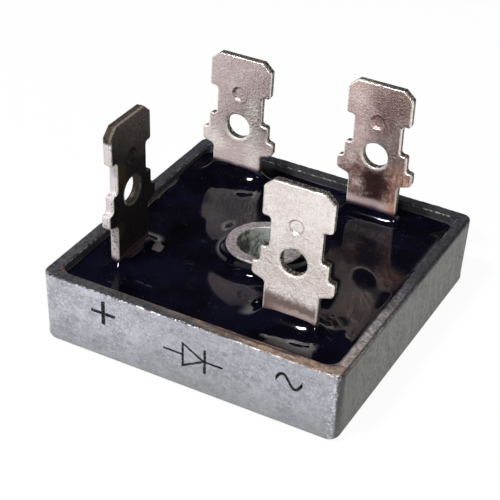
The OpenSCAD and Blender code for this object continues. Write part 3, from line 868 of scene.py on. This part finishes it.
# %% [markdown]
# ## Tinned copper
# The tabs are copper, tinned and tumbled: a pinkish silver with a fine grain. Heat has browned each
# one from its stem upwards, and every tab by its own amount. The punched edge shows through the
# *cut* number that the mesh carries: its roll is painted a bright cream, partly polish and partly
# painted highlight, and it is dark and rough where it tore. The slope of each dimple is painted
# darker: painted shade.
# %% The skin that all tabs share
def tin_skin(name, pale, mid, deep, speckle=1.0, **constants):
    """Starts a tab's finish and gives it with its tone: clouds between two tones, then sandy
    speckles, pale above one level of a fine noise and dark below another, and last the dimple's
    slope painted darker as painted shade."""
    tin = Finish("tinned copper " + name, **constants)
    tin.cloud = tin.noise(0.5, 3.0, 0.55)
    tin.sand = tin.noise(4.0, 3.0, 0.75) * 0.55 + tin.noise(7.0, 1.0, 0.7) * 0.45
    tone = tin.mix((tin.cloud * 0.7 + tin.sand * 0.3).ramp(0.40, 0.62), mid, pale)
    tone = tin.mix(tin.sand.ramp(0.49, 0.40) * 0.6 * speckle, tone, deep)
    tone = tin.mix(tin.sand.ramp(0.52, 0.60) * 0.7 * speckle, tone, (0.97, 0.95, 0.92))
    # Painted shade: the slope of the dimple is painted darker.
    steep = tin.node("Attribute", {"attribute_name": "steep"}, {}, 2)
    return tin, tin.mix(steep.ramp(0.2, 0.9) * 0.55, tone, deep)


def spot(tin, across, up, half_across, half_up, ragged=1.0):
    """Ragged patch: one minus the squared distance from its middle in half widths, made uneven by
    the clouds and the sand, and smoothed between its rim and its heart."""
    off_x, off_z = (across[0] - across[1]) / half_across, (tin.z - up) / half_up
    uneven = (tin.cloud - 0.5) * 3.4 * ragged + (tin.sand - 0.5) * 1.5 * ragged
    return (off_x * off_x + off_z * off_z + uneven).ramp(1.4, 0.0)


def tin_edges(tin, tone, wet, metallic, polish_and_highlight=1.0, lit_cut=0.0, rough=0.30):
    """Ends a tab's finish. By the *cut* number, the rolled edge is painted a polished cream, partly a
    painted highlight, and the punched wall is dark copper with crumbs of tin, but painted lit where
    asked. Below the height where it is wet, a film of compound darkens the foot."""
    cut = tin.node("Attribute", {"attribute_name": "cut"}, {}, 2)
    rolled = cut.ramp(0.02, 0.12) * cut.ramp(0.33, 0.24)
    # Painted highlight: the rolled edge is painted a pale cream, partly polished tin.
    tone = tin.mix(rolled * tin.sand.ramp(0.36, 0.48) * 0.85 * polish_and_highlight, tone, (0.95, 0.91, 0.84))
    wall = cut.ramp(0.26, 0.34)
    crumbs = tin.sand.ramp(0.54, 0.59) * polish_and_highlight
    dark_wall = tin.mix(crumbs * 0.8, (0.045, 0.032, 0.022), (0.72, 0.66, 0.56))
    flecks = tin.sand.ramp(0.47, 0.42) * tin.z.ramp(12.5, 10.5)
    # Painted light: a pale copy of the punched wall, for the part of an edge that faces the lamps.
    lit_wall = tin.mix(flecks, (0.66, 0.60, 0.61), (0.10, 0.075, 0.07))
    tone = tin.mix(wall, tone, tin.mix(lit_cut, dark_wall, lit_wall))
    film = (tin.z + (tin.cloud - 0.5) * 0.5).ramp(wet + 0.5, wet - 0.15)
    tone = tin.mix(film.ramp(0.0, 0.5) * 0.6, tone, (0.17, 0.085, 0.115))
    tone = tin.mix(film.ramp(0.3, 1.0) * 0.93, tone, (0.010, 0.006, 0.020))
    high = (tin.z + (tin.cloud - 0.5) * 3.0).ramp(9.0, 13.0)
    roughness = rough + tin.sand * 0.16 - high * 0.08 + wall * (1 - crumbs) * 0.2 - film * 0.12
    mirror = metallic * (0.2 + 0.8 * high)
    tin.vary(Base_Color=tone, Roughness=roughness, Metallic=mirror * (1 - film * 0.7),
             Normal=tin.bump(tin.sand + tin.cloud * 0.6, 0.09))
    return tin


# %% [markdown]
# The front AC tab is the palest: bright sand, with a brown bloom low down where solder heat reached.
# %% Front AC tab
front, tone = tin_skin("front AC", (0.90, 0.82, 0.79), (0.76, 0.67, 0.64), (0.40, 0.32, 0.29), 0.62)
tone = front.mix((front.z + front.cloud * 4.0).ramp(14.5, 17.5) * 0.25, tone, (0.98, 0.92, 0.90))
off = front.z + (front.cloud - 0.5) * 1.8 + (front.sand - 0.5) * 0.9
bloom = off.ramp(9.5, 8.5)
tone = front.mix(bloom * 0.88, tone, (0.15, 0.085, 0.07))
pale_foot = off.ramp(8.15, 7.75) * (front.x - 6.9).ramp(-2.4, 0.2)
tone = front.mix(pale_foot * 0.8, tone, (0.66, 0.52, 0.48))
tin_edges(front, tone, 7.2, 0.97).on(tabs["front_ac"])

# %% [markdown]
# The back AC tab is mauve at its head. Lower down it is paler, with two areas of pale cream.
# %% Back AC tab
rear, tone = tin_skin("back AC", (0.64, 0.53, 0.525), (0.56, 0.445, 0.435), (0.38, 0.28, 0.27), 0.35)
low_half = (rear.z + (rear.cloud - 0.5) * 4.0).ramp(13.5, 10.0)
tone = rear.mix(low_half * 0.6, tone, (0.80, 0.66, 0.64))
cream_areas = spot(rear, (rear.x, -10.8), 10.1, 1.3, 1.5).highest(spot(rear, (rear.x, -6.8), 11.0, 1.0, 4.2))
tone = rear.mix(cream_areas * (0.35 + 0.65 * rear.sand.ramp(0.44, 0.54)) * 0.95, tone, (1.0, 0.93, 0.87))
tin_edges(rear, tone, 7.65, 0.95).on(tabs["back_ac"])

# %% [markdown]
# The minus tab shows its copper: rosy with a sandy head, burnt nearly black above the compound, with
# orange at its right edge and a pale band below the burn.
# %% Minus tab
rosy, tone = tin_skin("minus", (0.78, 0.62, 0.59), (0.62, 0.46, 0.43), (0.34, 0.21, 0.19), 0.4)
mauve = spot(rosy, (rosy.x, 6.5), 17.2, 1.8, 2.1)
tone = rosy.mix(mauve * 0.6, tone, (0.33, 0.18, 0.185))
olive_corner = (rosy.x + (rosy.z - 17.0) * 0.4).ramp(7.2, 8.8)
tone = rosy.mix(olive_corner * 0.5, tone, (0.34, 0.25, 0.19))
streak = rosy.noise(1.3, 3.0, 0.6, (2.2, 1.0, 0.35))
copper_edge = (rosy.x + (streak - 0.5) * 4.0).ramp(5.6, 7.4) * rosy.z.ramp(13.5, 10.5)
tone = rosy.mix(copper_edge * 0.8, tone, rosy.mix(streak.ramp(0.40, 0.62), (0.40, 0.15, 0.09), (0.86, 0.55, 0.45)))
brown = spot(rosy, (rosy.x, 4.7), 9.4, 3.4, 2.7, 0.8)
tone = rosy.mix(brown * 0.92, tone, (0.13, 0.052, 0.040))
burn = spot(rosy, (rosy.x, 5.4), 9.3, 1.7, 1.9, 0.8)
tone = rosy.mix(burn * 0.9, tone, (0.020, 0.006, 0.008))
pale_band = (rosy.z + (rosy.cloud - 0.5) * 1.4).ramp(8.0, 7.5)
tone = rosy.mix(pale_band * 0.8, tone, rosy.mix(rosy.x.ramp(6.5, 7.8), (0.72, 0.55, 0.54), (0.60, 0.25, 0.15)))
tin_edges(rosy, tone, 6.9, 0.95 * (0.35 + 0.65 * rosy.x.ramp(3.2, 5.8))).on(tabs["minus"])

# %% [markdown]
# The plus tab's face that looks into the case is tarnished and painted near black as painted shade,
# darkest by its foot. The *through* number, the share of the sheet's depth, tells that face from the
# other, and the front half of its edge is painted bright: painted light where it faces the lamps.
# %% Plus tab
plus_tin, tone = tin_skin("plus", (0.62, 0.58, 0.58), (0.52, 0.47, 0.47), (0.24, 0.19, 0.17), 0.7, IOR=1.2)
inner_face = plus_tin.node("Attribute", {"attribute_name": "through"}, {}, 2).ramp(0.50, 0.62)
height_share = (plus_tin.z + (plus_tin.cloud - 0.5) * 4.0 + (plus_tin.y + 6.5) * 0.4).ramp(15.0, 20.0)
# Painted shade and tarnish: the face that looks into the case is near black, greyish brown towards its top.
tarnish_and_shade = plus_tin.mix(height_share, (0.003, 0.002, 0.002), (0.070, 0.053, 0.046))
umber = spot(plus_tin, (plus_tin.y, -8.3), 14.8, 1.0, 1.6).highest(spot(plus_tin, (plus_tin.y, -8.6), 9.6, 0.8, 1.0))
tarnish_and_shade = plus_tin.mix(umber * 0.6, tarnish_and_shade, (0.055, 0.032, 0.012))
tarnish_and_shade = plus_tin.mix(plus_tin.sand.ramp(0.58, 0.63) * 0.12, tarnish_and_shade, (0.30, 0.24, 0.20))
tone = plus_tin.mix(inner_face * 0.985, tone, tarnish_and_shade)
# Painted light: the front half of the edge, which faces the lamps, is painted pale and polished.
lit_front_edge = plus_tin.y.ramp(-7.4, -7.9) * plus_tin.z.ramp(18.6, 18.3)
tin_edges(plus_tin, tone, 6.8, 0.6 * (1 - inner_face), 0.12 + 0.7 * lit_front_edge, lit_front_edge).on(tabs["plus"])
print("tabs finished")

# %% [markdown]
# ## The pieces under the compound
# The ceramic plate, the bonding layer, the solder and the silicon dice are sealed in, but a curious
# reader may lift the pour off. They keep their CAD meshes, and each kind gets the finish it has on
# the bench: chalky ceramic, grey adhesive, wrinkled solder, and silicon with a faint blue cast.
# %% Inner finishes
def inner_finish(name, dark, light, scale, rough, depth, **constants):
    """Two tones of one colour in clouds, with a roughness and a relief that follow them."""
    skin = Finish(name, **constants)
    cloud, fine = skin.noise(scale, 4.0, 0.6), skin.noise(scale * 5, 3.0, 0.7)
    skin.vary(Base_Color=skin.mix((cloud * 0.7 + fine * 0.3).ramp(0.35, 0.65), dark, light),
              Roughness=rough + (fine - 0.5) * 0.2, Normal=skin.bump(cloud + fine * 0.4, depth))
    return skin


inner = {
    "alumina": inner_finish("alumina ceramic", (0.74, 0.73, 0.69), (0.88, 0.87, 0.83), 1.2, 0.62, 0.012),
    "bond": inner_finish("bonding layer", (0.30, 0.31, 0.33), (0.45, 0.46, 0.48), 2.0, 0.55, 0.02),
    "solder": inner_finish("tin solder", (0.46, 0.47, 0.50), (0.70, 0.71, 0.74), 1.6, 0.36, 0.02, Metallic=1.0),
    "silicon": inner_finish("silicon die", (0.06, 0.07, 0.10), (0.16, 0.18, 0.24), 1.0, 0.22, 0.004, Metallic=0.4),
}
slots = {s["node"]: s["material_slot"] for s in frame["record"]["subparts"]}
for node, piece in frame["nodes"].items():
    if slots.get(node) in inner:
        inner[slots[node]].on(piece)
print("inner pieces:", sum(slots.get(n) in inner for n in frame["nodes"]))

# %% [markdown]
# ## Floor and backdrop
# A catalogue picture stands on plain white. Turning the lamps up until the floor clips would wash
# out the metal, so the floor is given its white only for rays that come from the camera or from a
# mirror-like surface, and an ordinary matt part keeps the shadow under the case.
# %% Floor and world
floor = piece_from("floor", np.array([[-4000, -4000, -0.02], [4000, -4000, -0.02],
                                      [4000, 4000, -0.02], [-4000, 4000, -0.02]], float),
                   np.array([[0, 1, 2, 3]]))


def seen_directly(made_by):
    """One for rays from the camera, a mirror or glass, and none for the light of matt surfaces."""
    path = made_by("LightPath", {}, {}).socket.node
    camera_ray, glossy, through = (Value(made_by.__self__, path.outputs[n]) for n in (
        "Is Camera Ray", "Is Glossy Ray", "Is Transmission Ray"))
    return camera_ray.highest(glossy).highest(through)


paper = Finish("white paper", Roughness=0.9)
fibre = paper.noise(0.2, 4.0)
paper.vary(Base_Color=paper.mix(fibre, (0.80, 0.80, 0.80), (0.84, 0.84, 0.84)))
glow = paper.node("Emission", {}, {"Color": (1, 1, 1), "Strength": 1.0})
both = paper.node("MixShader", {}, {0: seen_directly(paper.node) * 0.95, 1: paper.shader, 2: glow})
paper.node("OutputMaterial", {"is_active_output": True}, {"Surface": both})
paper.on(floor)

world = bpy.data.worlds.new("studio")
bpy.context.scene.world = world
world.use_nodes = True


class Sky(Finish):
    """The same helpers on the world's own tree."""

    def __init__(self, world):
        self.tree = world.node_tree
        self.tree.nodes.clear()


sky = Sky(world)
direction = sky.node("SeparateXYZ", {}, {0: sky.node("TexCoord", {}, {}, 0)}).socket.node.outputs[2]
overhead = Value(sky, direction).ramp(0.20, 0.42)
shade = sky.mix(overhead, (1.0, 1.0, 1.0), (0.035, 0.035, 0.045))
strength = 0.30 + 0.70 * seen_directly(sky.node)
sky.node("OutputWorld", {}, {"Surface": sky.node("Background", {}, {"Color": shade, "Strength": strength})})
print("floor and world ready")

# %% [markdown]
# ## Lamps
# A large soft lamp at the front left models the metal, a second one high above lights the rim, and
# a very small one near the camera gives the pin-point glints that glossy compound always shows.
# %% Lamps
def lamp(name, place, size, power):
    """Area lamp at a place in millimetres, so wide and so high, turned to face the part's middle."""
    light = bpy.data.lights.new(name, "AREA")
    light.shape = "RECTANGLE"
    light.size, light.size_y = size[0] * MM, size[1] * MM
    light.energy = power
    thing = bpy.data.objects.new(name, light)
    place = Vector(place) * MM
    thing.matrix_world = Matrix.Translation(place) @ (
        place - Vector((0, 0, 0.008))).to_track_quat("Z", "Y").to_matrix().to_4x4()
    bpy.context.scene.collection.objects.link(thing)
    return thing


lamp("soft front lamp", (-92, -212, 398), (72, 30), 2.1)
lamp("small high lamp", (110, -190, 380), (30, 30), 0.45)
lamp("pin lamp", (40, -150, 130), (6, 6), 0.035)
scene = bpy.context.scene
scene.view_settings.view_transform = "Standard"
